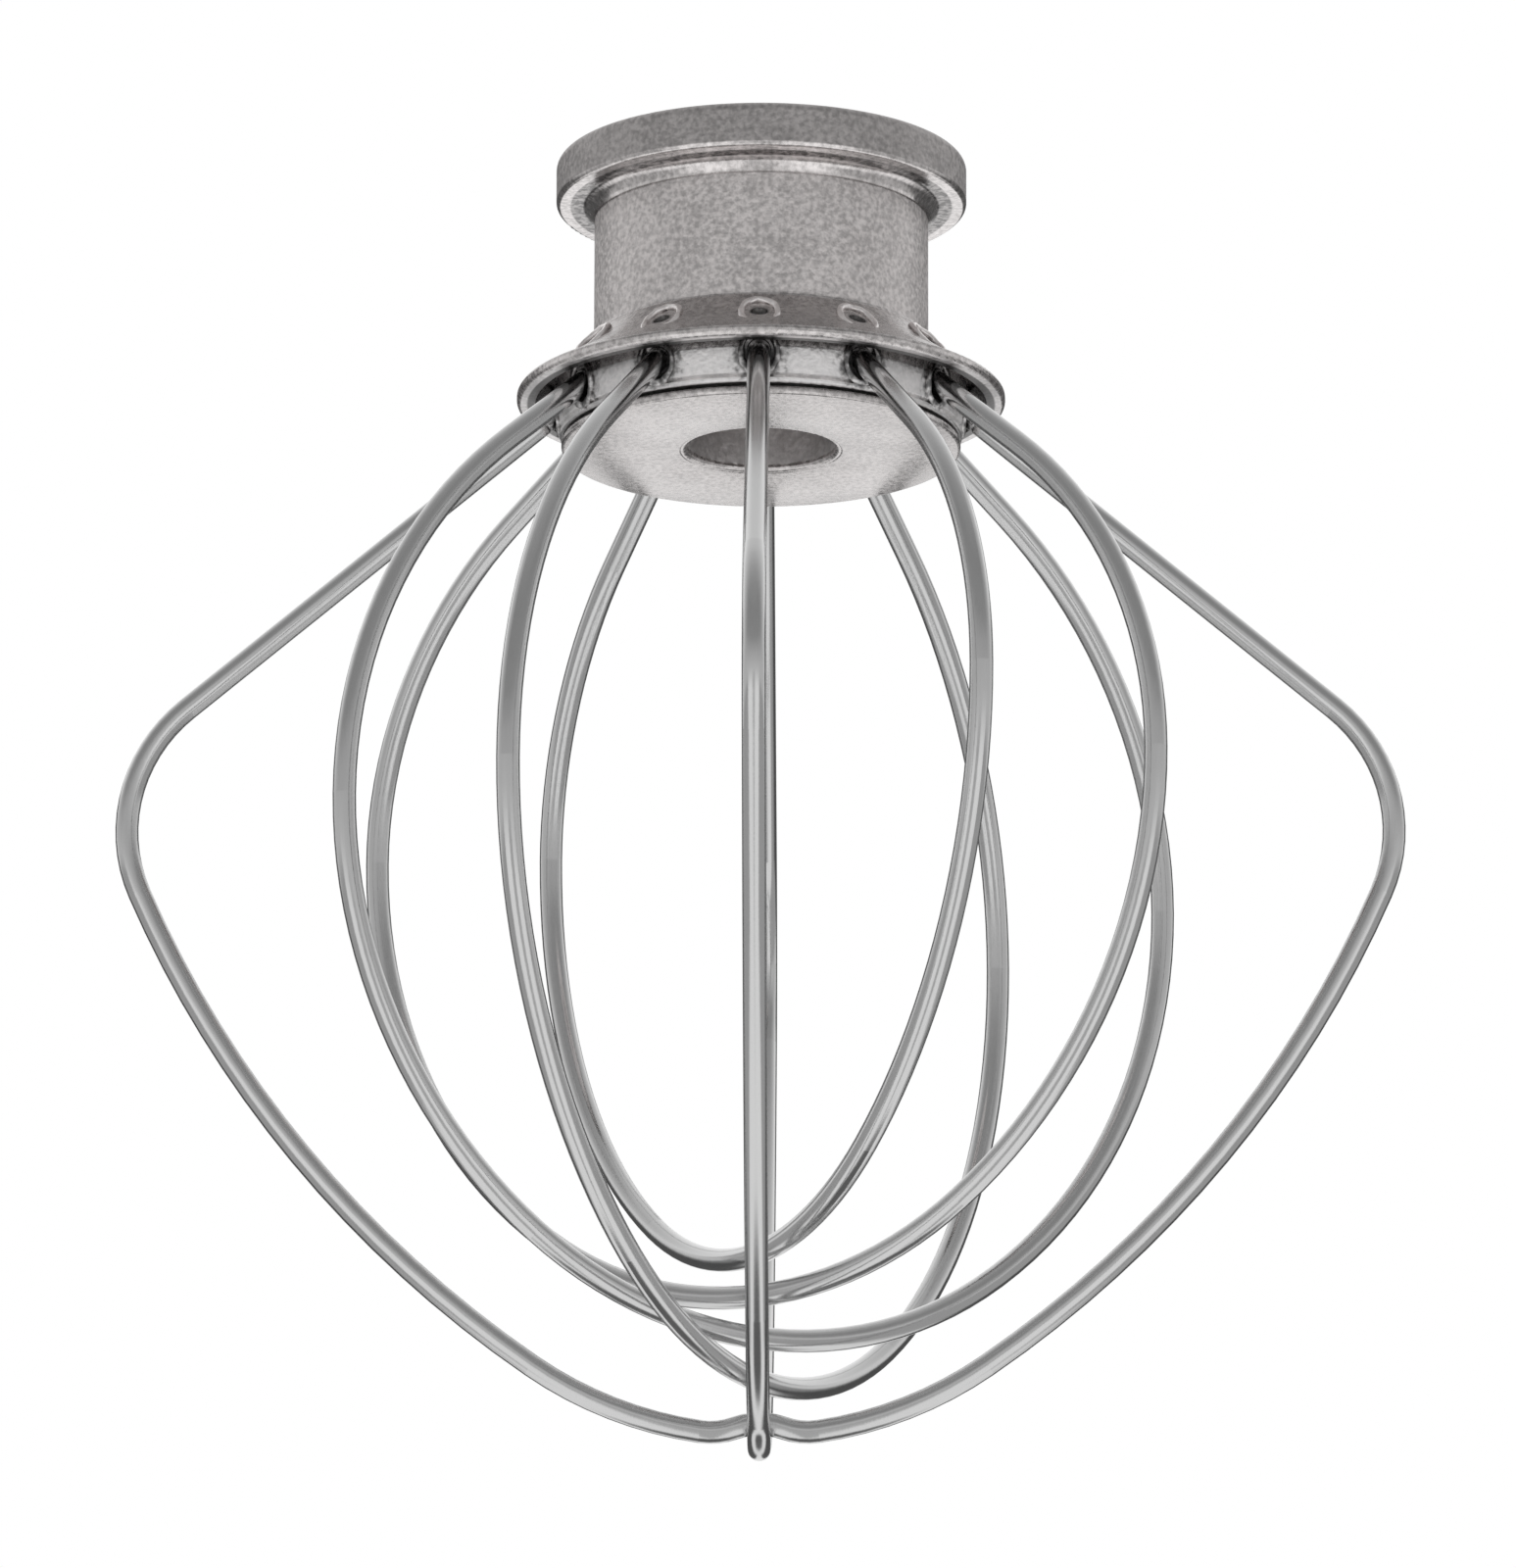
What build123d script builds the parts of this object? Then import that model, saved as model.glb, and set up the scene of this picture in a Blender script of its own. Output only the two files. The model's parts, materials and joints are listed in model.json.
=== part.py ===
from build123d import *

import math
import os
from collections import namedtuple

# Wire whisk for a stand mixer: a cast hub that hangs on the drive shaft, and six bent wire loops
# staked into it. Millimetres. The origin is the centre of the shaft bore's mouth on the hub's top
# face, +Z points up the shaft, and front is -Y. Loops are drawn upright and turned about Z.

# Drive shaft with its cross pin, which the hub fits
shaft_diameter = 12.7
shaft_clearance = 0.15
pin_diameter = 4.76
pin_clearance = 0.3
pin_depth = 9.0
pin_turn = 36.0

# Hub, measured down from its top face
flange_diameter = 35.9
flange_thickness = 4.05
neck_diameter = 29.2
lip_depth = 22.15
skirt_diameter = 42.6
skirt_rise = 5.8
flare_radius = 15.0
lip_height = 0.9
lip_width = 1.6
channel_depth = 1.6
collar_diameter = 35.0
collar_drop = 3.1
collar_taper = 7.0
boss_diameter = 29.7
boss_drop = 4.05
seam_rise = 0.6
seam_width = 0.4
seam_depth = 0.3

# Rounded corners of the hub's section, and the most that a round takes of the wall beside it
flange_top_round = 0.8
flange_edge_round = 0.4
flange_root_round = 1.2
neck_root_round = 0.6
lip_edge_round = 0.4
collar_edge_round = 0.25
boss_edge_round = 0.9
bore_edge_round = 0.4
round_share = 0.85

# Wire and the way its ends sit in the hub
wire_diameter = 2.0
seat_clearance = 0.05
seat_depth = 9.0
seat_end_gap = 0.2
leg_lip_gap = 0.7
leg_angle = 40.0
leg_pitch = 30.0

# Punch marks over the wire ends, and how far down the outside of the skirt they lie
stake_ball_radius = 0.75
stake_depth = 0.55
stake_share = 0.4

# Wider mouth of each wire seat in the collar
mouth_diameter = 2.9
mouth_depth = 0.8

# Loop sizes at the wire's centre line: half width from the axis, bend radius of the shoulder, and
# how far that bend runs on past the widest point. The flank bend then turns to the same angle from
# upright on every loop.
LoopSizes = namedtuple("LoopSizes", "half_width shoulder_radius shoulder_wrap")

large_loop = LoopSizes(half_width=54.8, shoulder_radius=14.2, shoulder_wrap=23.5)
round_loop_1 = LoopSizes(half_width=41.6, shoulder_radius=45.0, shoulder_wrap=0)
round_loop_2 = LoopSizes(half_width=40.6, shoulder_radius=44.5, shoulder_wrap=0)
round_loop_3 = LoopSizes(half_width=39.1, shoulder_radius=38.0, shoulder_wrap=0)
round_loop_4 = LoopSizes(half_width=37.9, shoulder_radius=32.0, shoulder_wrap=0)
flank_turn = 55.0

# Tips of the loops: depth of the large pair below the hub's lip, the bends where one of that pair
# passes over the other, and the clear gap from each loop to the next one inside it
large_depth = 91.9
crossing_radius = 6.0
crossing_clearance = 0.1
nest_gap = 1.75

# Sizes that follow
bore_radius = shaft_diameter / 2 + shaft_clearance
slot_width = pin_diameter + 2 * pin_clearance
flange_radius = flange_diameter / 2
neck_radius = neck_diameter / 2
skirt_radius = skirt_diameter / 2
collar_radius = collar_diameter / 2
boss_radius = boss_diameter / 2
lip_level = -lip_depth
collar_level = lip_level - collar_drop
collar_flare = math.tan(math.radians(collar_taper))
boss_level = lip_level - boss_drop
channel_radius = skirt_radius - lip_width
leg_slope = math.radians(leg_angle)
leg_direction = Vector(math.cos(leg_slope), -math.sin(leg_slope))
leg_exit = Vector(channel_radius - (wire_diameter / 2 + leg_lip_gap) / math.sin(leg_slope), lip_level)
crossing_offset = (wire_diameter + crossing_clearance) / 2


def rounded(section, radius, height, round_radius):
    """The hub's section with its corner at this radius and height rounded, as far as the walls allow."""
    corner = section.vertices().sort_by_distance((radius, height, 0))[0]
    walls = section.edges().sort_by_distance(corner)[:2]
    room = round_share * min(wall.length for wall in walls)
    return fillet(corner, min(round_radius, room))


def flare_line():
    """Hollow outside of the bell skirt, from the neck out to the lip."""
    top = (neck_radius, lip_level + skirt_rise)
    bottom = (skirt_radius, lip_level + lip_height)
    return RadiusArc(top, bottom, -flare_radius)


def collar_point(height, inset=0):
    """The collar's tapered wall at this height, or a point set in from it."""
    return Vector(collar_radius + (height - collar_level) * collar_flare - inset, height)


def hub_section():
    """Half of the hub cut through its axis, drawn with X as the radius and Y as the height."""
    seam_level = collar_level + seam_rise
    outline = Polyline(
        (bore_radius, 0),
        (flange_radius, 0),
        (flange_radius, -flange_thickness),
        (neck_radius, -flange_thickness),
        (neck_radius, lip_level + skirt_rise),
    )
    outline += flare_line()
    outline += Polyline(
        (skirt_radius, lip_level + lip_height),
        (skirt_radius, lip_level),
        (channel_radius, lip_level),
        collar_point(lip_level + channel_depth),
        collar_point(seam_level + seam_width / 2),
        collar_point(seam_level, seam_depth),
        collar_point(seam_level - seam_width / 2),
        collar_point(collar_level),
        (boss_radius, collar_level),
        (boss_radius, boss_level),
        (bore_radius, boss_level),
        (bore_radius, 0),
    )
    section = make_face(outline)
    section = rounded(section, flange_radius, 0, flange_top_round)
    section = rounded(section, flange_radius, -flange_thickness, flange_edge_round)
    section = rounded(section, neck_radius, -flange_thickness, flange_root_round)
    section = rounded(section, neck_radius, lip_level + skirt_rise, neck_root_round)
    section = rounded(section, skirt_radius, lip_level + lip_height, lip_edge_round)
    section = rounded(section, skirt_radius, lip_level, lip_edge_round)
    section = rounded(section, collar_radius, collar_level, collar_edge_round)
    section = rounded(section, boss_radius, boss_level, boss_edge_round)
    return rounded(section, bore_radius, boss_level, bore_edge_round)


def pin_slot():
    """Dog-leg slot at the back: down from the top face, then clockwise to the cross pin's seat."""
    reach = flange_radius + slot_width
    entry = Pos(0, reach / 2, -pin_depth / 2) * Box(slot_width, reach, pin_depth)
    round_end = Pos(0, reach / 2, -pin_depth) * Rot(90, 0, 0) * Cylinder(slot_width / 2, reach)
    turn_face = Plane.YZ * Pos(reach / 2, -pin_depth) * Rectangle(reach, slot_width)
    turn = revolve(turn_face, Axis.Z, pin_turn)
    return entry + round_end + Rot(0, 0, -pin_turn) * (turn + round_end)


def slanted_hole(start, diameter):
    """Round hole along the line of a wire end, from this point of the line out past the skirt."""
    across = Plane(origin=(start.X, 0, start.Y), z_dir=(leg_direction.X, 0, leg_direction.Y))
    return extrude(across * Circle(diameter / 2), 2 * seat_depth)


def wire_seat():
    """Slanted blind hole for one wire end, wider where it opens in the collar."""
    top = leg_exit - leg_direction * (seat_depth + seat_end_gap)
    gap = collar_point(leg_exit.Y).X - leg_exit.X
    wall = leg_exit + leg_direction * (gap / (leg_direction.X - leg_direction.Y * collar_flare))
    seat = slanted_hole(top, wire_diameter + 2 * seat_clearance)
    return seat + slanted_hole(wall - leg_direction * mouth_depth, mouth_diameter)


def stake_mark():
    """Round punch mark on the skirt, over a wire end."""
    flare = flare_line()
    along = flare % stake_share
    outward = Vector(-along.Y, along.X)
    centre = flare @ stake_share + outward * (stake_ball_radius - stake_depth)
    return Pos(centre.X, 0, centre.Y) * Sphere(stake_ball_radius)


def build_hub():
    """The whole casting."""
    hub = revolve(Plane.XZ * hub_section(), Axis.Z)
    hub -= pin_slot()
    cut = wire_seat() + stake_mark()
    leg_count = round(360 / leg_pitch)
    hub -= [Rot(0, 0, leg_pitch * leg) * cut for leg in range(leg_count)]
    return hub


def meeting_point(upper_centre, upper_reach, lower_centre, lower_reach):
    """The point right of the axis that lies at the two given distances from two points on the axis."""
    apart = upper_centre.Y - lower_centre.Y
    drop = (upper_reach**2 - lower_reach**2 + apart**2) / (2 * apart)
    return Vector(math.sqrt(upper_reach**2 - drop**2), upper_centre.Y - drop)


def crossing_bends(tip_centre, tip_radius, side):
    """End points and radii of the bends that take a wire over (side 1) or under (-1) another."""
    crown_height = tip_centre.Y - tip_radius + side * crossing_offset
    crown_centre = Vector(0, crown_height - side * crossing_radius)
    tip_reach = tip_radius - side * crossing_radius
    bend_centre = meeting_point(tip_centre, tip_reach, crown_centre, 2 * crossing_radius)
    tip_end = tip_centre + (bend_centre - tip_centre).normalized() * tip_radius
    bend_end = (bend_centre + crown_centre) / 2
    return [
        (tip_end, tip_radius),
        (bend_end, side * crossing_radius),
        (Vector(0, crown_height), -side * crossing_radius),
    ]


def half_loop(sizes, depth, crossing_side):
    """Right half of a loop's centre line: leg, shoulder, flank and tip, each tangent to the next."""
    wrap = math.radians(sizes.shoulder_wrap)
    turn = math.radians(flank_turn)
    bottom = lip_level - depth

    # The leg runs straight until the shoulder bend fits between it and the widest point
    inward = Vector(-math.sin(leg_slope), -math.cos(leg_slope))
    leg_reach = sizes.half_width - leg_exit.X - sizes.shoulder_radius * (1 + inward.X)
    leg_end = leg_exit + leg_direction * (leg_reach / leg_direction.X)
    shoulder_centre = leg_end + inward * sizes.shoulder_radius
    shoulder_end = shoulder_centre + Vector(math.cos(wrap), -math.sin(wrap)) * sizes.shoulder_radius

    # Flank and tip radii are those that bring the wire level on the axis at the loop's depth
    left_to_go = Vector(shoulder_end.X, shoulder_end.Y - bottom)
    flank_share = Vector(math.cos(wrap) - math.cos(turn), math.sin(turn) - math.sin(wrap))
    tip_share = Vector(math.cos(turn), 1 - math.sin(turn))
    both_shares = flank_share.cross(tip_share).Z
    flank_radius = left_to_go.cross(tip_share).Z / both_shares
    tip_radius = flank_share.cross(left_to_go).Z / both_shares
    tip_centre = Vector(0, bottom + tip_radius)
    flank_end = tip_centre + Vector(math.cos(turn), -math.sin(turn)) * tip_radius

    bends = [(shoulder_end, sizes.shoulder_radius), (flank_end, flank_radius)]
    if crossing_side:
        bends += crossing_bends(tip_centre, tip_radius, crossing_side)
    else:
        bends += [(Vector(0, bottom), tip_radius)]

    point = leg_end
    path = Line(leg_exit - leg_direction * seat_depth, leg_end)
    for bend_end, bend_radius in bends:
        path += RadiusArc(point, bend_end, bend_radius)
        point = bend_end
    return path


def build_loop(sizes, depth, turn, crossing_side=0):
    """One wire loop, bent in an upright plane and turned about the axis."""
    half = half_loop(sizes, depth, crossing_side)
    path = Wire((Plane.XZ * (half + mirror(half, Plane.YZ))).edges())
    section = Plane(origin=path @ 0, z_dir=path % 0) * Circle(wire_diameter / 2)
    return Rot(0, 0, turn) * sweep(section, path)


def build_parts():
    """Every piece by its name."""
    parts = {
        "hub": build_hub(),
        "large_loop_lower": build_loop(large_loop, large_depth, 3 * leg_pitch, crossing_side=-1),
        "large_loop_upper": build_loop(large_loop, large_depth, 0, crossing_side=1),
    }
    nested = {
        "round_loop_1": (round_loop_1, 2 * leg_pitch),
        "round_loop_2": (round_loop_2, leg_pitch),
        "round_loop_3": (round_loop_3, -leg_pitch),
        "round_loop_4": (round_loop_4, -2 * leg_pitch),
    }
    depth = large_depth - crossing_offset
    for name, (sizes, turn) in nested.items():
        depth -= wire_diameter + nest_gap
        parts[name] = build_loop(sizes, depth, turn)
    return parts


os.makedirs("parts", exist_ok=True)
for name, part in build_parts().items():
    part.label = name
    export_step(part, f"parts/{name}.step")
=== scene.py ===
"""Finishes, small worked-metal detail, light and camera for the stand mixer wire whisk."""

import json
import math

import bpy
from bpy.props import FloatProperty, FloatVectorProperty, PointerProperty
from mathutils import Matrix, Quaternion, Vector


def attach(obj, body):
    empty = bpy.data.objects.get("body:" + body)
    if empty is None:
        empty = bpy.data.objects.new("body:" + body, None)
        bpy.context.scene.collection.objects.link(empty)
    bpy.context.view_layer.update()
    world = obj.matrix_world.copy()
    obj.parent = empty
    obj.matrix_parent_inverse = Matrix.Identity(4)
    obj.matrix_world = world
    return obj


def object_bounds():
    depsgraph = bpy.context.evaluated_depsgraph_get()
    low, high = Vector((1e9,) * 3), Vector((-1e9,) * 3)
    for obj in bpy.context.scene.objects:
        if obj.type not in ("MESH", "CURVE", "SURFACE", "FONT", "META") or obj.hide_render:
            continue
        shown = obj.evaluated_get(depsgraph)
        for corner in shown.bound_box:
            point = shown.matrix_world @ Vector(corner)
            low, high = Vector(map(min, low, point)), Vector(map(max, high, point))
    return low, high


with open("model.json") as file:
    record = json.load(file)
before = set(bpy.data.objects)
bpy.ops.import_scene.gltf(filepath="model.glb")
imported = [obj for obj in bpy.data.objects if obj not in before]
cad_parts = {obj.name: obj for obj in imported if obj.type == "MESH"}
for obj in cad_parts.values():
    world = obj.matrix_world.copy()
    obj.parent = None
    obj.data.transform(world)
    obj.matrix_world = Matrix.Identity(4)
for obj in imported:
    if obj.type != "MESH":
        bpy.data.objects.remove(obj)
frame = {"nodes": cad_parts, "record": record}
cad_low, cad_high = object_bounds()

bl_info = {
    "name": "Wire whisk",
    "version": (1, 0, 0),
    "blender": (4, 5, 0),
    "location": "View3D > Sidebar > Whisk",
    "description": "Dresses the packed wire whisk and sets its studio",
    "category": "Object",
}

MM = 0.001
WHITE = (1.0, 1.0, 1.0, 1.0)
BLACK = (0.0, 0.0, 0.0, 1.0)

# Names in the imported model
BODY = "root"
HUB_NODE = "hub"
WIRE_NODES = [name for name in frame["nodes"] if name != HUB_NODE]
HUB_SLOT = "cast_aluminium"
WIRE_SLOT = "steel_wire"

# Every wire loop has two legs, and all legs are spread evenly round the hub
LEG_COUNT = 2 * len(WIRE_NODES)
LEG_PITCH = math.tau / LEG_COUNT

# Places on the hub, out from its axis or up from its top face
RIM_RADIUS = 17.4 * MM
RIM_EDGE = -3.65 * MM
FLANGE_FACE = -3.9 * MM
FLANGE_ROOT = -5.4 * MM
ROOT_RADIUS = 15.4 * MM
ROOT_EDGE = 16.7 * MM
SKIRT_TOP = -16.3 * MM
LIP_LEVEL = -22.15 * MM
CHANNEL_RADIUS = 18.1 * MM
CHANNEL_EDGE = 20.4 * MM
CHANNEL_TOP = -20.3 * MM
FLARE_BOTTOM = -21.5 * MM
SEAM_RADIUS = 15.0 * MM
SEAM_TOP = -25.15 * MM
SEAM_BOTTOM = -25.55 * MM

# How steeply the channel's roof falls outwards, and the width of the edge between two finishes
CHANNEL_SLOPE = 0.75
SOFT_EDGE = 0.2 * MM

# Warm cast of the casting over the plain grey of its slot
HUB_WARMTH = (1.04, 0.995, 0.985)

# How smooth parts of the hub are turned, from 0 for the skin of the casting to 1 for the flange
SKIRT_TURNED = 0.75
COLLAR_TURNED = 0.35
PLATE_TURNED = 0.8

# Share of the grain's relief that turning takes off
TURNED_FLATNESS = 0.85

# Noise: its middle value, and how fine its detail is
NOISE_MIDDLE = 0.5
FINE_DETAIL = 3.0
SOFT_DETAIL = 2.0

# Grain of the hub: sizes in grains, share of the blotches, edge of a speck, change of roughness
BLOTCH_SIZE = 9
SMEAR_SIZE = 1.2
BLOTCH_SHARE = 0.2
SPECK_EDGE = (0.3, 0.7)
CAST_UNEVENNESS = 0.3

# Metal raised by the punch: gloss over a turned face's, contrast over the casting's (its grain runs only
# lighter than the casting's colour, partly fresh pressed metal and partly a painted highlight on the
# raised ridges), change of roughness
PRESSED_GLOSS = 0.5
PRESSED_CONTRAST = 2
PRESSED_UNEVENNESS = 0.2

# Painted shade in the punch marks and round the wire mouths, in radii of the mark: where each starts to
# fade and ends, and how ragged it is
PUNCH_EDGE = (0.45, 0.6)
MOUTH_EDGE = (0.9, 1.8)
MOUTH_RAGGEDNESS = 2

# Weaker painted shade in the seam, and painted shade under the flange broken into patches
SEAM_SHARE = 0.6
PATCH_EDGE = (0.4, 0.6)
PATCH_LEAST = 0.55

# Clouds on the wires: size in streak widths, share in the shade, changes of roughness
CLOUD_SIZE = 30
CLOUD_SHARE = 0.4
STREAK_UNEVENNESS = 0.12
CLOUD_UNEVENNESS = 0.1

# Fineness of the new meshes
RING_STEPS = 28
RING_SIDES = 8
RING_SMOOTHING = 1
PLATE_STEPS = 128
PLATE_EDGE_STEPS = 3
TENT_STEPS = 48
TENT_RINGS = 24
FLOOR_STEPS = 64

# The plate's level faces have normals more upright than this, and its edges past this angle stay sharp
LEVEL_FACE = 0.5
PLATE_SHARP_ANGLE = math.radians(40)

# Numbers of the sockets by which a Mix node mixes colours
MIX_FACTOR = 0
MIX_FIRST = 6
MIX_SECOND = 7
MIX_RESULT = 2

# Picture in pixels, the camera's sensor in millimetres and its nearest and furthest sight in metres
IMAGE_SIZE = (1547, 1600)
SENSOR_SIZE = 36.0
CLIP_START = 0.01
CLIP_END = 100.0

# Plain light of the world, and the floor's specks in metres and in two greys
LIGHT_LEVEL = 0.6
FLOOR_SPECK = 0.02
FLOOR_GREYS = (0.8, 0.84)

# Glow of the tent from its lowest point to its highest: height and grey
TENT_FALL = [(0.0, 0.92), (0.46, 0.92), (0.55, 0.62), (0.63, 0.5), (0.72, 0.32), (0.85, 0.3), (1.0, 0.38)]

# Zones of the tent, by the parts of a direction from its middle
# Every pair is where a zone's edge starts and where it ends
LOW_TOP = (-0.05, 0.12)

# Behind the whisk the glow reaches higher up
BEHIND_BACK = (0.2, 0.75)
BEHIND_RISE = 0.65

# Overhead, more so at the back, the tent is paler
OVER_BACK = (-0.45, 0.75)
OVER_HEIGHT = (0.1, 0.4)
OVER_GLOW = 0.75

# Straight in front, the room is dimmer low down
ROOM_SIDE = (0.15, 0.3)
ROOM_FRONT = (-0.1, 0.4)
ROOM_DIMNESS = 0.45

# The right and left flanks are dimmer low down too
FLANK_SIDE = (0.72, 0.88)
FLANK_BOTTOM = (-0.75, -0.6)
FLANK_DIMNESS = 0.55

# Two dark strips stand at the back
STRIP_INNER = (0.1, 0.18)
STRIP_OUTER = (0.78, 0.9)
STRIP_BACK = (0.0, 0.15)
STRIP_BOTTOM = (-0.6, -0.45)
STRIP_TOP = (0.3, 0.4)
STRIP_DARKNESS = 0.9

# A dark pit lies below, a little to the back
PIT_BACK = 0.31
PIT_DOWN = 0.95
PIT_EDGE = (0.87, 0.96)
PIT_DARKNESS = 0.85


def slot_colour(slot):
    """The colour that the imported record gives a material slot."""
    materials = frame["record"]["materials"]
    return next(material["base_color"] for material in materials if material["slot"] == slot)


class Socket:
    """A shader socket that plain arithmetic can be written with."""

    def __init__(self, graph, output):
        self.graph = graph
        self.output = output

    def math(self, operation, *others):
        """A Math node on this value and the others."""
        values = dict(enumerate((self, *others)))
        return self.graph.node("ShaderNodeMath", {"operation": operation}, values)

    def __add__(self, other):
        return self.math("ADD", other)

    def __sub__(self, other):
        return self.math("SUBTRACT", other)

    def __rsub__(self, other):
        return self.graph.node("ShaderNodeMath", {"operation": "SUBTRACT"}, {0: other, 1: self})

    def __mul__(self, other):
        return self.math("MULTIPLY", other)

    def __truediv__(self, other):
        return self.math("DIVIDE", other)

    def __neg__(self):
        return self.math("MULTIPLY", -1.0)

    def __abs__(self):
        return self.math("ABSOLUTE")

    __radd__ = __add__
    __rmul__ = __mul__


class Graph:
    """The node tree of one material or of the world."""

    def __init__(self, tree):
        tree.nodes.clear()
        self.tree = tree

    def node(self, kind, settings=None, inputs=None, output=0):
        """Add a node, set it up, feed its sockets and return one of its outputs."""
        made = self.tree.nodes.new(kind)
        for name, value in (settings or {}).items():
            if name == "stops":
                self.set_stops(made.color_ramp, value)
            else:
                setattr(made, name, value)
        for name, value in (inputs or {}).items():
            if isinstance(value, Socket):
                self.tree.links.new(value.output, made.inputs[name])
            else:
                made.inputs[name].default_value = value
        return Socket(self, made.outputs[output]) if made.outputs else None

    @staticmethod
    def set_stops(ramp, stops):
        """Give a colour ramp its places and greys."""
        while len(ramp.elements) < len(stops):
            ramp.elements.new(1.0)
        for element, (place, grey) in zip(ramp.elements, stops):
            element.position = place
            element.color = (grey, grey, grey, 1.0)

    def place(self):
        """Where the surface point is on the piece."""
        return self.node("ShaderNodeTexCoord", output="Object")

    def parts(self, vector):
        """The three numbers of a vector."""
        return [self.node("ShaderNodeSeparateXYZ", None, {0: vector}, axis) for axis in range(3)]

    def noise(self, vector, size, detail):
        """Soft noise from 0 to 1, with grains of about this size in metres."""
        inputs = {"Vector": vector, "Scale": 1 / size, "Detail": detail}
        return self.node("ShaderNodeTexNoise", None, inputs)

    def step(self, value, low, high):
        """0 below low, 1 above high and a smooth rise between them."""
        settings = {"interpolation_type": "SMOOTHSTEP"}
        inputs = {"Value": value, "From Min": low, "From Max": high}
        return self.node("ShaderNodeMapRange", settings, inputs)

    def above(self, value, edge):
        """1 above an edge and 0 below it, with a short rise."""
        return self.step(value, edge - SOFT_EDGE / 2, edge + SOFT_EDGE / 2)

    def between(self, value, low, high):
        """1 between two edges and 0 beyond them."""
        return self.above(value, low) * (1 - self.above(value, high))

    def most(self, first, *others):
        """The greatest of several values."""
        for other in others:
            first = first.math("MAXIMUM", other)
        return first

    def mix(self, factor, first, second):
        """Between two colours."""
        settings = {"data_type": "RGBA", "clamp_factor": True}
        inputs = {MIX_FACTOR: factor, MIX_FIRST: first, MIX_SECOND: second}
        return self.node("ShaderNodeMix", settings, inputs, MIX_RESULT)

    def seen(self):
        """1 for what the camera sees, also in metal or through glass, and 0 for light on its way."""
        kinds = ("Camera", "Glossy", "Transmission")
        return self.most(*(self.node("ShaderNodeLightPath", output=f"Is {kind} Ray") for kind in kinds))

    def metal(self, colour, roughness, height, depth):
        """Bare metal with a fine relief."""
        relief = self.node("ShaderNodeBump", None, {"Height": height, "Strength": 1.0, "Distance": depth})
        return self.node(
            "ShaderNodeBsdfPrincipled",
            None,
            {"Base Color": colour, "Roughness": roughness, "Metallic": 1.0, "Normal": relief},
        )

    def surface(self, shader):
        """Use a shader as the surface."""
        self.node("ShaderNodeOutputMaterial", None, {"Surface": shader})


def new_material(name):
    """An empty material and its graph."""
    material = bpy.data.materials.new(name)
    material.use_nodes = True
    return material, Graph(material.node_tree)


def shaded(colour, share=1.0):
    """A colour with its alpha, made darker or lighter."""
    return (*(channel * share for channel in colour), 1.0)


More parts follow.
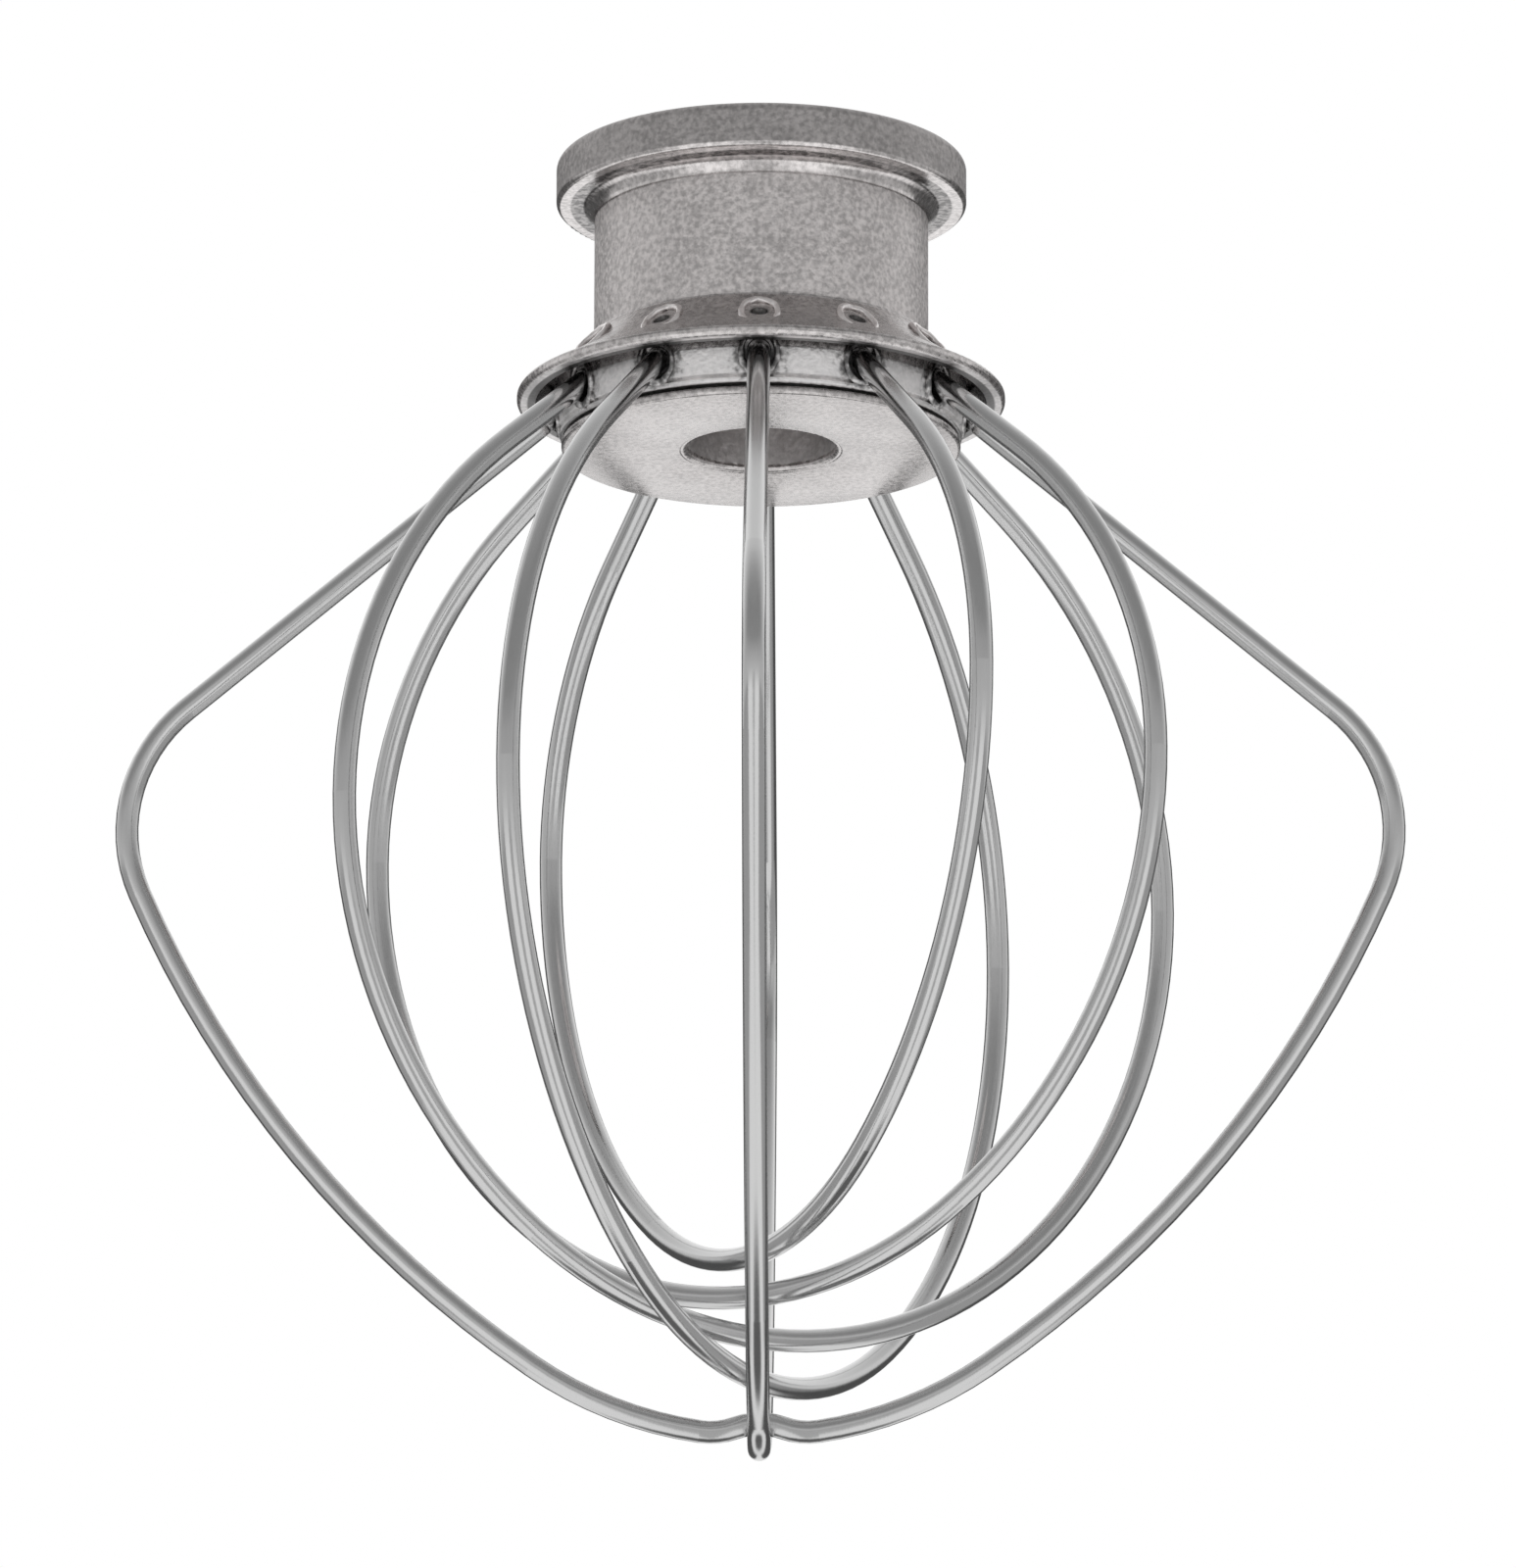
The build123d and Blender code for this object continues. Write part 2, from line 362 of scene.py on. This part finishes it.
def cast_aluminium(finish, stakes, burrs):
    """Speckled satin casting, smooth where turned, duller on the rim and the plate, with painted shade on
    the outside of the skirt, painted light on the collar, and painted shade in the channel, the seam,
    under the flange's root, in the punch marks and round the wire mouths.
    """
    material, graph = new_material("satin_casting")
    place = graph.place()
    x, y, z = graph.parts(place)
    radius = (x * x + y * y).math("SQRT")
    turn = y.math("ARCTAN2", x).math("WRAP", LEG_PITCH / 2, -LEG_PITCH / 2)
    across = radius * turn.math("SINE")
    out = radius * turn.math("COSINE")

    def from_mark(marks):
        """How far a point is from the nearest of a ring of marks, in radii of the mark."""
        outward = out - marks.ring_radius
        upward = z - marks.height
        return (across * across + outward * outward + upward * upward).math("SQRT") / marks.radius

    grain = graph.noise(place, finish.grain_size, FINE_DETAIL)
    blotch = graph.noise(place, finish.grain_size * BLOTCH_SIZE, SOFT_DETAIL)
    smear = graph.noise(place, finish.grain_size * SMEAR_SIZE, FINE_DETAIL)

    rim = graph.above(z, RIM_EDGE) * graph.above(radius, RIM_RADIUS)
    flange = graph.above(z, FLANGE_ROOT) * (1 - rim)
    skirt = 1 - graph.above(z, SKIRT_TOP)
    collar = 1 - graph.above(z, LIP_LEVEL)
    face = 1 - graph.above(z, SEAM_BOTTOM)
    turned = graph.most(flange, skirt * SKIRT_TURNED)
    turned = turned - collar * (SKIRT_TURNED - COLLAR_TURNED) + face * (PLATE_TURNED - COLLAR_TURNED)

    outside = graph.above(z + (radius - CHANNEL_RADIUS) * CHANNEL_SLOPE, CHANNEL_TOP)
    flare = skirt * outside * graph.above(z, FLARE_BOTTOM)
    # Painted shade: in the channel under the lip, in the seam between collar and plate, under the flange's
    # root, in the middle of each punch mark and round each wire's mouth
    channel = graph.between(radius, CHANNEL_RADIUS, CHANNEL_EDGE) * (1 - outside)
    seam = graph.above(radius, SEAM_RADIUS) * graph.between(z, SEAM_BOTTOM, SEAM_TOP)
    root = flange * (1 - graph.above(z, FLANGE_FACE)) * graph.between(radius, ROOT_RADIUS, ROOT_EDGE)
    patches = graph.step(smear, *PATCH_EDGE) * (1 - PATCH_LEAST) + PATCH_LEAST
    punch = 1 - graph.step(from_mark(stakes), *PUNCH_EDGE)
    ragged = from_mark(burrs) + (smear - NOISE_MIDDLE) * MOUTH_RAGGEDNESS
    mouth = 1 - graph.step(ragged, *MOUTH_EDGE)
    painted_shade = graph.most(channel, seam * SEAM_SHARE, root * patches, punch, mouth)

    dark = shaded(finish.colour, 1 - finish.grain_contrast)
    light = shaded(finish.colour, 1 + finish.grain_contrast)
    specks = graph.step(grain * (1 - BLOTCH_SHARE) + blotch * BLOTCH_SHARE, *SPECK_EDGE)
    # The rim and the plate are duller metal; the outside of the skirt gets painted shade, standing in for
    # the dark flange and neck that it mirrors
    dullness_and_shade = graph.most(rim * finish.rim_dullness, flare * finish.flare_painted_shade)
    dullness_and_shade = graph.most(dullness_and_shade, face * finish.plate_dullness)
    colour = graph.mix(dullness_and_shade, graph.mix(specks, dark, light), BLACK)
    # Painted light: the collar is mixed towards white, as if it caught more light
    colour = graph.mix((collar - face) * finish.collar_painted_light, colour, WHITE)
    # The painted shade darkens the colour towards black
    colour = graph.mix(painted_shade * finish.painted_shade, colour, BLACK)
    uneven = (grain - NOISE_MIDDLE) * CAST_UNEVENNESS
    roughness = finish.roughness + uneven - turned * finish.turned_gloss
    relief = grain * (1 - turned * TURNED_FLATNESS)
    graph.surface(graph.metal(colour, roughness, relief, finish.grain_depth))
    return material


def pressed_aluminium(finish):
    """The hub's metal where a punch has raised it: smoother than the casting's skin, and lighter in
    colour, partly as fresh pressed metal and partly as a painted highlight where the raised ridges catch
    the light.
    """
    material, graph = new_material("pressed_casting")
    grain = graph.noise(graph.place(), finish.grain_size, FINE_DETAIL)
    dark = shaded(finish.colour)
    # Lighter than the casting: partly fresh pressed metal, partly a painted highlight on the raised ridges
    light = shaded(finish.colour, 1 + PRESSED_CONTRAST * finish.grain_contrast)
    uneven = (grain - NOISE_MIDDLE) * PRESSED_UNEVENNESS
    roughness = finish.roughness - finish.turned_gloss * PRESSED_GLOSS + uneven
    graph.surface(graph.metal(graph.mix(grain, dark, light), roughness, grain, finish.grain_depth))
    return material


def steel_wire(finish):
    """Bright drawn wire with faint upright streaks and soft clouds."""
    material, graph = new_material("drawn_wire")
    place = graph.place()
    squeeze = (1.0, 1.0, finish.streak_share)
    stretched = graph.node("ShaderNodeMapping", None, {"Vector": place, "Scale": squeeze})
    streak = graph.noise(stretched, finish.streak_size, FINE_DETAIL)
    cloud = graph.noise(place, finish.streak_size * CLOUD_SIZE, SOFT_DETAIL)

    dark = shaded(finish.colour, 1 - finish.streak_contrast)
    light = shaded(finish.colour, 1 + finish.streak_contrast)
    colour = graph.mix(streak * (1 - CLOUD_SHARE) + cloud * CLOUD_SHARE, dark, light)
    uneven = (streak - NOISE_MIDDLE) * STREAK_UNEVENNESS + (cloud - NOISE_MIDDLE) * CLOUD_UNEVENNESS
    graph.surface(graph.metal(colour, finish.roughness + uneven, streak, finish.streak_depth))
    return material


def dress(piece, material):
    """Put one material on every slot of a piece."""
    piece.data.materials.clear()
    piece.data.materials.append(material)


def hub_metal():
    """The material that the hub wears."""
    return frame["nodes"][HUB_NODE].data.materials[0]


class HubFinish(bpy.types.PropertyGroup):
    """Finish of the cast hub"""

    colour: FloatVectorProperty(
        name="Metal colour", description="Colour of the bare casting", subtype="COLOR",
        size=3, min=0, max=1,
        default=[grey * warmth for grey, warmth in zip(slot_colour(HUB_SLOT), HUB_WARMTH)],
    )
    roughness: FloatProperty(
        name="Roughness", description="How satin the casting is", subtype="FACTOR",
        min=0, max=1, default=0.5,
    )
    turned_gloss: FloatProperty(
        name="Turned gloss", description="How much smoother turned faces are", subtype="FACTOR",
        min=0, max=1, default=0.3,
    )
    rim_dullness: FloatProperty(
        name="Rim dullness", description="How much darker the flange's rim is", subtype="FACTOR",
        min=0, max=1, default=0.36,
    )
    # Painted shade on the outside of the skirt, standing in for the dark flange that it mirrors
    flare_painted_shade: FloatProperty(
        name="Skirt dullness", description="How much darker the outside of the skirt is", subtype="FACTOR",
        min=0, max=1, default=0.3,
    )
    plate_dullness: FloatProperty(
        name="Plate dullness", description="How much darker the end plate is", subtype="FACTOR",
        min=0, max=1, default=0.11,
    )
    # Painted light on the collar
    collar_painted_light: FloatProperty(
        name="Collar shine", description="How much brighter the collar is", subtype="FACTOR",
        min=0, max=1, default=0.5,
    )
    # Strength of the painted shade in the channel, the seam, under the flange, in the punch marks and
    # round the wire mouths
    painted_shade: FloatProperty(
        name="Grime", description="How dark the grooves and marks are", subtype="FACTOR",
        min=0, max=1, default=0.8,
    )
    grain_size: FloatProperty(
        name="Grain size", description="Width of a grain of the casting", unit="LENGTH", default=0.46 * MM,
    )
    grain_depth: FloatProperty(
        name="Grain depth", description="Depth of the grain", unit="LENGTH", default=0.06 * MM,
    )
    grain_contrast: FloatProperty(
        name="Grain contrast", description="How far grains differ in shade", subtype="FACTOR",
        min=0, max=1, default=0.27,
    )


class WireFinish(bpy.types.PropertyGroup):
    """Finish of the bent wires"""

    colour: FloatVectorProperty(
        name="Steel colour", description="Colour of the drawn wire", subtype="COLOR",
        size=3, min=0, max=1, default=slot_colour(WIRE_SLOT),
    )
    roughness: FloatProperty(
        name="Roughness", description="How satin the wire is", subtype="FACTOR",
        min=0, max=1, default=0.15,
    )
    streak_size: FloatProperty(
        name="Streak width", description="Width of a drawing streak", unit="LENGTH", default=0.12 * MM,
    )
    streak_share: FloatProperty(
        name="Streak stretch", description="Streak width over streak length", subtype="FACTOR",
        min=0, max=1, default=0.06,
    )
    streak_depth: FloatProperty(
        name="Streak depth", description="Depth of a drawing streak", unit="LENGTH", default=0.003 * MM,
    )
    streak_contrast: FloatProperty(
        name="Streak contrast", description="How far streaks differ in shade", subtype="FACTOR",
        min=0, max=1, default=0.07,
    )


class StakeSizes(bpy.types.PropertyGroup):
    """Ridge of metal raised round each punch mark on the skirt"""

    ring_radius: FloatProperty(
        name="Ring radius", description="Punch marks from the hub's axis", unit="LENGTH",
        default=16.94 * MM,
    )
    height: FloatProperty(
        name="Height", description="Punch marks above the top face", unit="LENGTH",
        default=-18.76 * MM,
    )
    slope: FloatProperty(
        name="Slope", description="Skirt at the marks, from upright", subtype="ANGLE",
        default=math.radians(50.6),
    )
    sink: FloatProperty(
        name="Sink", description="How far the ridge dips into the skirt at its low side", subtype="ANGLE",
        default=math.radians(8),
    )
    radius: FloatProperty(
        name="Ridge radius", description="Middle of the ridge from the mark", unit="LENGTH",
        default=1.6 * MM,
    )
    stretch: FloatProperty(name="Stretch", description="Height of the ridge over its width", default=1.3)
    thickness: FloatProperty(
        name="Ridge thickness", description="Half thickness of the ridge", unit="LENGTH",
        default=0.28 * MM,
    )
    wobble: FloatProperty(
        name="Wobble", description="Unevenness of the ridge", unit="LENGTH", default=0.17 * MM,
    )


class BurrSizes(bpy.types.PropertyGroup):
    """Burr of metal pressed against each wire where it leaves the hub"""

    ring_radius: FloatProperty(
        name="Ring radius", description="Burrs from the hub's axis", unit="LENGTH", default=17.78 * MM,
    )
    height: FloatProperty(
        name="Height", description="Burrs above the top face", unit="LENGTH", default=-22.75 * MM,
    )
    droop: FloatProperty(
        name="Droop", description="Collar's wall faces below the level", subtype="ANGLE",
        default=math.radians(7),
    )
    radius: FloatProperty(
        name="Burr radius", description="Middle of the burr from the wire's axis", unit="LENGTH",
        default=1.6 * MM,
    )
    stretch: FloatProperty(name="Stretch", description="Height of the burr over its width", default=1.2)
    thickness: FloatProperty(
        name="Burr thickness", description="Half thickness of the burr", unit="LENGTH", default=0.3 * MM,
    )
    wobble: FloatProperty(
        name="Wobble", description="Unevenness of the burr", unit="LENGTH", default=0.2 * MM,
    )


class PlateSizes(bpy.types.PropertyGroup):
    """Plate that closes the collar under its seam"""

    radius: FloatProperty(
        name="Radius", description="Outside of the plate", unit="LENGTH", default=17.4 * MM,
    )
    hole_radius: FloatProperty(
        name="Hole radius", description="Room round the bore's mouth", unit="LENGTH", default=6.9 * MM,
    )
    level: FloatProperty(
        name="Level", description="Underside of the plate above the top face", unit="LENGTH",
        default=-26.25 * MM,
    )
    thickness: FloatProperty(
        name="Thickness", description="Height of the plate's edge", unit="LENGTH", default=0.75 * MM,
    )
    edge_round: FloatProperty(
        name="Edge round", description="Rounding of the plate's edges", unit="LENGTH", default=0.25 * MM,
    )


class StudioSetup(bpy.types.PropertyGroup):
    """Camera and light round the whisk"""

    azimuth: FloatProperty(
        name="Azimuth", description="Camera to the right of the front", subtype="ANGLE",
        default=math.radians(0.6),
    )
    elevation: FloatProperty(
        name="Elevation", description="Camera above the level", subtype="ANGLE",
        default=math.radians(-15.23),
    )
    roll: FloatProperty(
        name="Roll", description="Camera turned about its line of sight", subtype="ANGLE",
        default=math.radians(0.11),
    )
    distance: FloatProperty(
        name="Distance", description="Camera to the point that it looks at", unit="LENGTH",
        default=1.1736,
    )
    look_at: FloatVectorProperty(
        name="Looks at", description="Point in the middle of the picture", subtype="XYZ", unit="LENGTH",
        size=3, default=(-0.0002, 0.0, -0.056325),
    )
    scale: FloatProperty(
        name="Picture scale", description="Pixels of the picture for each metre at that point",
        default=11788.0,
    )
    floor_drop: FloatProperty(
        name="Floor drop", description="Floor below the lowest wire", unit="LENGTH", default=2.5,
    )
    floor_radius: FloatProperty(
        name="Floor radius", description="Half width of the floor", unit="LENGTH", default=6.0,
    )
    tent_radius: FloatProperty(
        name="Tent radius", description="Half width of the light tent", unit="LENGTH", default=2.4,
    )


def add_uneven_rings(name, sizes, tilt, material):
    """One uneven ring of pressed metal at each wire end, joined into one piece of the hub's metal."""
    bpy.ops.object.select_all(action="DESELECT")
    rings = []
    for leg in range(LEG_COUNT):
        bpy.ops.mesh.primitive_torus_add(
            major_radius=sizes.radius,
            minor_radius=sizes.thickness,
            major_segments=RING_STEPS,
            minor_segments=RING_SIDES,
        )
        rings.append(bpy.context.object)
        bpy.ops.object.mode_set(mode="EDIT")
        bpy.ops.mesh.select_all(action="SELECT")
        bpy.ops.transform.resize(value=(sizes.stretch, 1, 1))
        bpy.ops.transform.vertex_random(offset=sizes.wobble, seed=leg + 1, wait_for_input=False)
        # Without a window, rotate turns the other way, so the tilt is given a minus sign
        bpy.ops.transform.rotate(value=-tilt, orient_axis="Y", center_override=(0, 0, 0))
        bpy.ops.transform.translate(value=(sizes.ring_radius, 0, sizes.height))
        bpy.ops.transform.rotate(value=LEG_PITCH * leg, orient_axis="Z", center_override=(0, 0, 0))
        bpy.ops.object.mode_set(mode="OBJECT")
    for ring in rings:
        ring.select_set(True)
    bpy.ops.object.join()
    piece = bpy.context.object
    piece.name = name
    bpy.ops.object.modifier_add(type="SUBSURF")
    smoothing = piece.modifiers[-1]
    smoothing.levels = RING_SMOOTHING
    smoothing.render_levels = RING_SMOOTHING
    bpy.ops.object.modifier_apply(modifier=smoothing.name)
    bpy.ops.object.shade_smooth()
    dress(piece, material)
    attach(piece, BODY)


def add_end_plate(sizes):
    """Round plate with a hole for the bore and rounded edges, over the boss."""
    bpy.ops.object.select_all(action="DESELECT")
    bpy.ops.mesh.primitive_cylinder_add(vertices=PLATE_STEPS, radius=sizes.radius, depth=sizes.thickness)
    plate = bpy.context.object
    plate.name = "end_plate"
    bpy.ops.object.mode_set(mode="EDIT")
    bpy.ops.mesh.select_mode(type="FACE")
    bpy.ops.mesh.select_all(action="DESELECT")
    bpy.ops.object.mode_set(mode="OBJECT")
    for face in plate.data.polygons:
        face.select = abs(face.normal.z) > LEVEL_FACE
    bpy.ops.object.mode_set(mode="EDIT")
    bpy.ops.mesh.inset(thickness=sizes.radius - sizes.hole_radius, use_individual=True)
    bpy.ops.mesh.bridge_edge_loops()
    bpy.ops.mesh.select_all(action="SELECT")
    bpy.ops.transform.translate(value=(0, 0, sizes.level + sizes.thickness / 2))
    bpy.ops.object.mode_set(mode="OBJECT")
    bpy.ops.object.modifier_add(type="BEVEL")
    rounding = plate.modifiers[-1]
    rounding.width = sizes.edge_round
    rounding.segments = PLATE_EDGE_STEPS
    bpy.ops.object.modifier_apply(modifier=rounding.name)
    bpy.ops.object.shade_smooth_by_angle(angle=PLATE_SHARP_ANGLE)
    dress(plate, hub_metal())
    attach(plate, BODY)


def look_camera(setup):
    """Camera of the picture."""
    bpy.ops.object.camera_add()
    camera = bpy.context.object
    camera.name = "camera"
    turn, tilt = setup.azimuth, setup.elevation
    towards = Vector((math.sin(turn) * math.cos(tilt), -math.cos(turn) * math.cos(tilt), math.sin(tilt)))
    aim = (-towards).to_track_quat("-Z", "Y") @ Quaternion((0, 0, 1), setup.roll)
    camera.location = Vector(setup.look_at) + towards * setup.distance
    camera.rotation_euler = aim.to_euler()
    camera.data.sensor_width = SENSOR_SIZE
    camera.data.lens = SENSOR_SIZE * setup.scale * setup.distance / max(IMAGE_SIZE)
    camera.data.clip_start = CLIP_START
    camera.data.clip_end = CLIP_END
    bpy.context.scene.camera = camera


def white_world():
    """White for what the camera and the metal see, and a plain grey light."""
    world = bpy.data.worlds.new("white")
    bpy.context.scene.world = world
    world.use_nodes = True
    graph = Graph(world.node_tree)
    grey = graph.node("ShaderNodeBackground", None, {"Color": WHITE, "Strength": LIGHT_LEVEL})
    white = graph.node("ShaderNodeBackground", None, {"Color": WHITE, "Strength": 1.0})
    both = graph.node("ShaderNodeMixShader", None, {0: graph.seen(), 1: grey, 2: white})
    graph.node("ShaderNodeOutputWorld", None, {"Surface": both})


def tent_material():
    """Inside of the light tent: bright below and behind, dim above and in front, with dark gaps."""
    material, graph = new_material("light_tent")
    unit = graph.node("ShaderNodeVectorMath", {"operation": "NORMALIZE"}, {0: graph.place()})
    x, y, z = graph.parts(unit)
    side = abs(x) / (x * x + y * y).math("SQRT")

    behind = graph.step(y, *BEHIND_BACK)
    level = (z - behind * BEHIND_RISE + 1) / 2
    fall = graph.node("ShaderNodeValToRGB", {"stops": TENT_FALL}, {"Fac": level})
    over = graph.step(y, *OVER_BACK) * graph.step(z, *OVER_HEIGHT)

    low = 1 - graph.step(z, *LOW_TOP)
    room = (1 - graph.step(side, *ROOM_SIDE)) * graph.step(-y, *ROOM_FRONT) * low
    flank = graph.step(side, *FLANK_SIDE) * graph.step(z, *FLANK_BOTTOM) * low
    dim = graph.most(room * ROOM_DIMNESS, flank * FLANK_DIMNESS)

    wide = graph.step(side, *STRIP_INNER) * (1 - graph.step(side, *STRIP_OUTER))
    tall = graph.step(z, *STRIP_BOTTOM) * (1 - graph.step(z, *STRIP_TOP))
    strip = wide * tall * graph.step(y, *STRIP_BACK)
    pit = graph.step(y * PIT_BACK - z * PIT_DOWN, *PIT_EDGE)
    gaps = graph.most(strip * STRIP_DARKNESS, pit * PIT_DARKNESS)

    glow = graph.mix(over * OVER_GLOW, fall, WHITE)
    glow = graph.mix((1 - dim) * (1 - gaps), BLACK, glow)
    graph.surface(graph.node("ShaderNodeEmission", None, {"Color": glow, "Strength": 1.0}))
    return material


def floor_material():
    """Pale floor, white to the camera and to the metal."""
    material, graph = new_material("pale_floor")
    speck = graph.noise(graph.place(), FLOOR_SPECK, SOFT_DETAIL)
    darker, paler = (shaded(WHITE[:3], grey) for grey in FLOOR_GREYS)
    cloth = graph.node("ShaderNodeBsdfDiffuse", None, {"Color": graph.mix(speck, darker, paler)})
    white = graph.node("ShaderNodeEmission", None, {"Color": WHITE, "Strength": 1.0})
    graph.surface(graph.node("ShaderNodeMixShader", None, {0: graph.seen(), 1: cloth, 2: white}))
    return material


def add_tent(setup):
    """Closed light tent round the studio, which the camera looks through."""
    bpy.ops.mesh.primitive_uv_sphere_add(
        segments=TENT_STEPS, ring_count=TENT_RINGS, radius=setup.tent_radius
    )
    tent = bpy.context.object
    tent.name = "light_tent"
    bpy.ops.object.mode_set(mode="EDIT")
    bpy.ops.mesh.select_all(action="SELECT")
    bpy.ops.mesh.flip_normals()
    bpy.ops.object.mode_set(mode="OBJECT")
    bpy.ops.object.shade_smooth()
    tent.visible_camera = False
    tent.visible_shadow = False
    dress(tent, tent_material())


def add_floor(setup):
    """Plain round floor well below the whisk."""
    height = cad_low.z - setup.floor_drop
    bpy.ops.mesh.primitive_circle_add(
        vertices=FLOOR_STEPS, radius=setup.floor_radius, fill_type="NGON", location=(0, 0, height)
    )
    floor = bpy.context.object
    floor.name = "floor"
    dress(floor, floor_material())


class WHISK_OT_finish_hub(bpy.types.Operator):
    """Give the hub the finish of a satin casting"""

    bl_idname = "whisk.finish_hub"
    bl_label = "Finish hub"

    def execute(self, context):
        scene = context.scene
        casting = cast_aluminium(scene.whisk_hub, scene.whisk_stakes, scene.whisk_burrs)
        dress(frame["nodes"][HUB_NODE], casting)
        return {"FINISHED"}


class WHISK_OT_finish_wires(bpy.types.Operator):
    """Give every loop the finish of drawn steel wire"""

    bl_idname = "whisk.finish_wires"
    bl_label = "Finish wires"

    def execute(self, context):
        steel = steel_wire(context.scene.whisk_wire)
        for name in WIRE_NODES:
            dress(frame["nodes"][name], steel)
        return {"FINISHED"}


class WHISK_OT_stake_ridges(bpy.types.Operator):
    """Add the ridges of metal raised round the punch marks on the skirt"""

    bl_idname = "whisk.stake_ridges"
    bl_label = "Add stake ridges"

    def execute(self, context):
        sizes = context.scene.whisk_stakes
        material = pressed_aluminium(context.scene.whisk_hub)
        add_uneven_rings("stake_ridges", sizes, math.pi / 2 - sizes.slope + sizes.sink, material)
        return {"FINISHED"}


class WHISK_OT_seat_burrs(bpy.types.Operator):
    """Add the burrs of metal pressed against the wires at the hub"""

    bl_idname = "whisk.seat_burrs"
    bl_label = "Add seat burrs"

    def execute(self, context):
        sizes = context.scene.whisk_burrs
        add_uneven_rings("seat_burrs", sizes, math.pi / 2 + sizes.droop, hub_metal())
        return {"FINISHED"}


class WHISK_OT_end_plate(bpy.types.Operator):
    """Add the plate that closes the collar"""

    bl_idname = "whisk.end_plate"
    bl_label = "Add end plate"

    def execute(self, context):
        add_end_plate(context.scene.whisk_plate)
        return {"FINISHED"}


class WHISK_OT_set_stage(bpy.types.Operator):
    """Set up the background, the floor, the light tent and the camera"""

    bl_idname = "whisk.set_stage"
    bl_label = "Set stage"

    def execute(self, context):
        setup = context.scene.whisk_studio
        white_world()
        add_floor(setup)
        add_tent(setup)
        look_camera(setup)
        context.scene.view_settings.view_transform = "Standard"
        return {"FINISHED"}


class WHISK_PT_sidebar(bpy.types.Panel):
    """Whisk tools in the sidebar"""

    bl_label = "Wire whisk"
    bl_space_type = "VIEW_3D"
    bl_region_type = "UI"
    bl_category = "Whisk"

    def draw(self, context):
        for operator in OPERATORS:
            self.layout.operator(operator.bl_idname)


GROUPS = {
    "whisk_hub": HubFinish,
    "whisk_wire": WireFinish,
    "whisk_stakes": StakeSizes,
    "whisk_burrs": BurrSizes,
    "whisk_plate": PlateSizes,
    "whisk_studio": StudioSetup,
}
OPERATORS = (
    WHISK_OT_finish_hub,
    WHISK_OT_finish_wires,
    WHISK_OT_stake_ridges,
    WHISK_OT_seat_burrs,
    WHISK_OT_end_plate,
    WHISK_OT_set_stage,
)
CLASSES = (*GROUPS.values(), *OPERATORS, WHISK_PT_sidebar)


def register():
    """Make the whisk's settings, tools and panel known to Blender."""
    for entry in CLASSES:
        bpy.utils.register_class(entry)
    for name, group in GROUPS.items():
        setattr(bpy.types.Scene, name, PointerProperty(type=group))


def unregister():
    """Take them out again."""
    for name in GROUPS:
        delattr(bpy.types.Scene, name)
    for entry in reversed(CLASSES):
        bpy.utils.unregister_class(entry)


def main():
    """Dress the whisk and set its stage."""
    register()
    bpy.ops.object.select_all(action="DESELECT")
    bpy.ops.whisk.finish_hub()
    bpy.ops.whisk.finish_wires()
    bpy.ops.whisk.stake_ridges()
    bpy.ops.whisk.seat_burrs()
    bpy.ops.whisk.end_plate()
    bpy.ops.whisk.set_stage()


if __name__ == "__main__":
    main()
